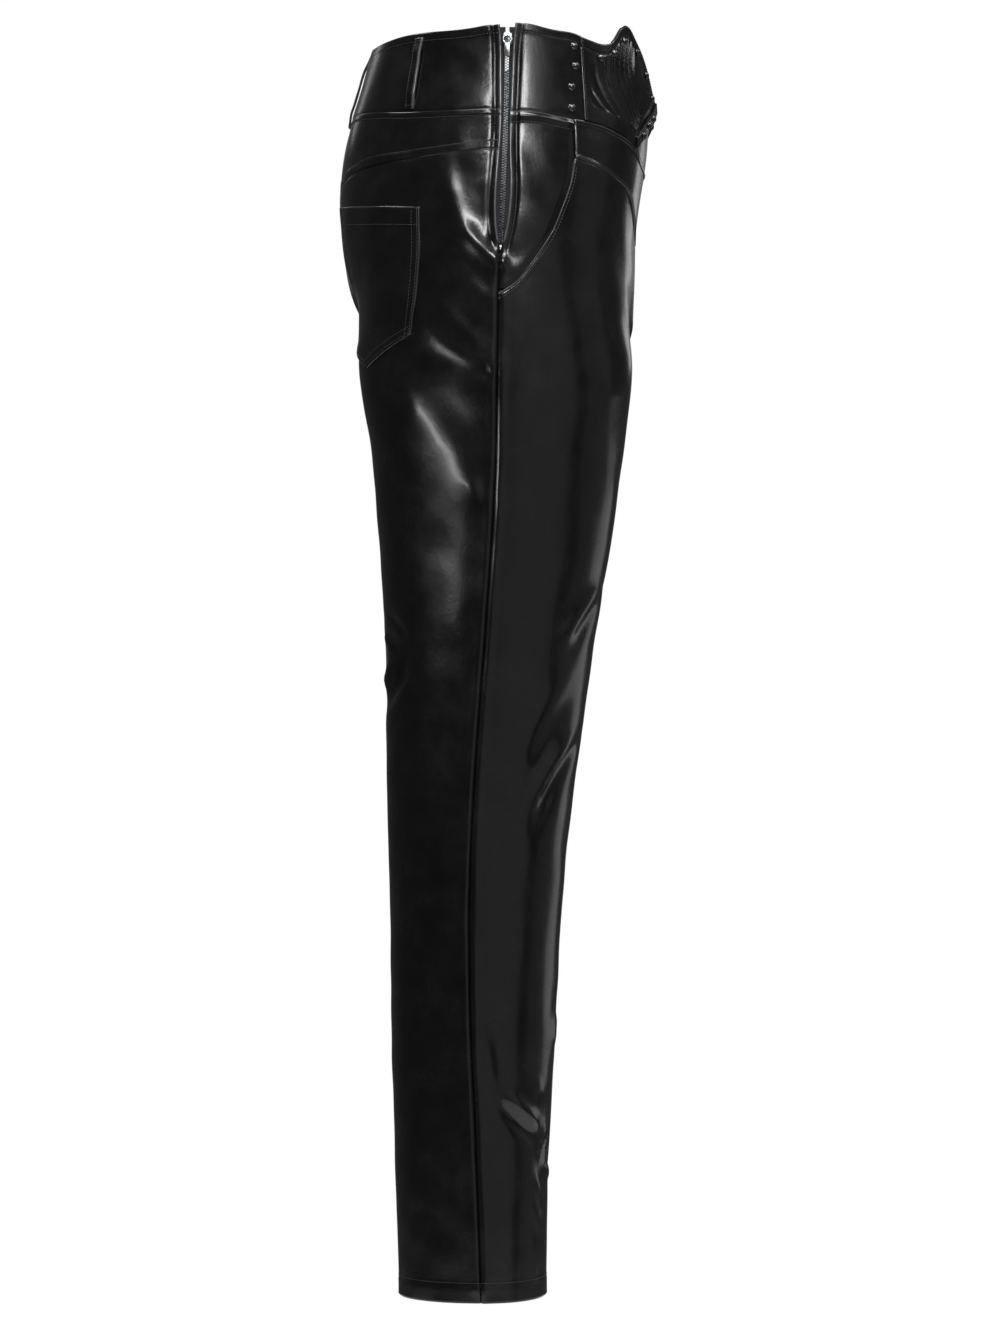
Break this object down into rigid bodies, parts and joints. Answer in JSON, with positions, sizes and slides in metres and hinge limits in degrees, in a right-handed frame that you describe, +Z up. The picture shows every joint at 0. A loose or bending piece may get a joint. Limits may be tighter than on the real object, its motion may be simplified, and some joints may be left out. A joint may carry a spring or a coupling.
{
  "type": "faux leather trousers",
  "caption": "Slim faux leather trousers as worn, hollow, with a side zip, deep waistband, yokes, back pockets and a peaked, studded front panel.",
  "frame": {"origin": "the middle of the waistband on its centre line, where the wearer's waist holds the trousers", "axes": "+Z up along the body, the front faces -Y, the wearer's right is -X"},
  "size_m": [0.374, 0.2839, 1.106],
  "materials": {
    "coated_black": "smooth black coated cloth with a soft gloss",
    "coated_black_trim": "smooth black coated cloth, turned edges",
    "zip_tape": "woven black tape",
    "zip_metal": "dark polished zip metal",
    "stud": "polished black metal domes"
  },
  "bodies": {
    "trousers": {"back_pocket_left": "coated_black_trim", "back_pocket_right": "coated_black_trim", "belt_loop_back": "coated_black_trim", "belt_loop_left": "coated_black_trim", "belt_loop_right": "coated_black_trim", "hip_facing_left": "coated_black", "hip_facing_right": "coated_black", "leg_back_left": "coated_black", "leg_back_right": "coated_black", "leg_front_left": "coated_black", "leg_front_right": "coated_black", "stud_band_1_left": "stud", "stud_band_1_right": "stud", "stud_band_2_left": "stud", "stud_band_2_right": "stud", "stud_band_3_left": "stud", "stud_band_3_right": "stud", "stud_band_4_left": "stud", "stud_band_4_right": "stud", "stud_strip_1_left": "stud", "stud_strip_1_right": "stud", "stud_strip_2_left": "stud", "stud_strip_2_right": "stud", "stud_strip_3_left": "stud", "stud_strip_3_right": "stud", "stud_wing_1_left": "stud", "stud_wing_1_right": "stud", "stud_wing_2_left": "stud", "stud_wing_2_right": "stud", "stud_wing_3_left": "stud", "stud_wing_3_right": "stud", "stud_wing_4_left": "stud", "stud_wing_4_right": "stud", "stud_wing_5_left": "stud", "stud_wing_5_right": "stud", "stud_wing_6_left": "stud", "stud_wing_6_right": "stud", "waistband_back_left": "coated_black", "waistband_back_right": "coated_black", "waistband_front_left": "coated_black", "waistband_front_right": "coated_black", "wing_left": "coated_black_trim", "wing_right": "coated_black_trim", "wing_strip_left": "coated_black_trim", "wing_strip_right": "coated_black_trim", "yoke_back_left": "coated_black", "yoke_back_right": "coated_black", "yoke_front_left": "coated_black", "yoke_front_right": "coated_black", "zip_bottom_stop": "zip_metal", "zip_slider": "zip_metal", "zip_tape_back": "zip_tape", "zip_tape_front": "zip_tape", "zip_teeth": "zip_metal"},
    "pull_tab": {"zip_pull": "zip_metal"}
  },
  "joints": [
    {"name": "pull_hinge", "type": "hinge", "parent": "trousers", "child": "pull_tab", "pos_m": [-0.14814, 0.00185, 0.02697], "axis": [0, 1, 0], "range_deg": [0, 170]}
  ]
}
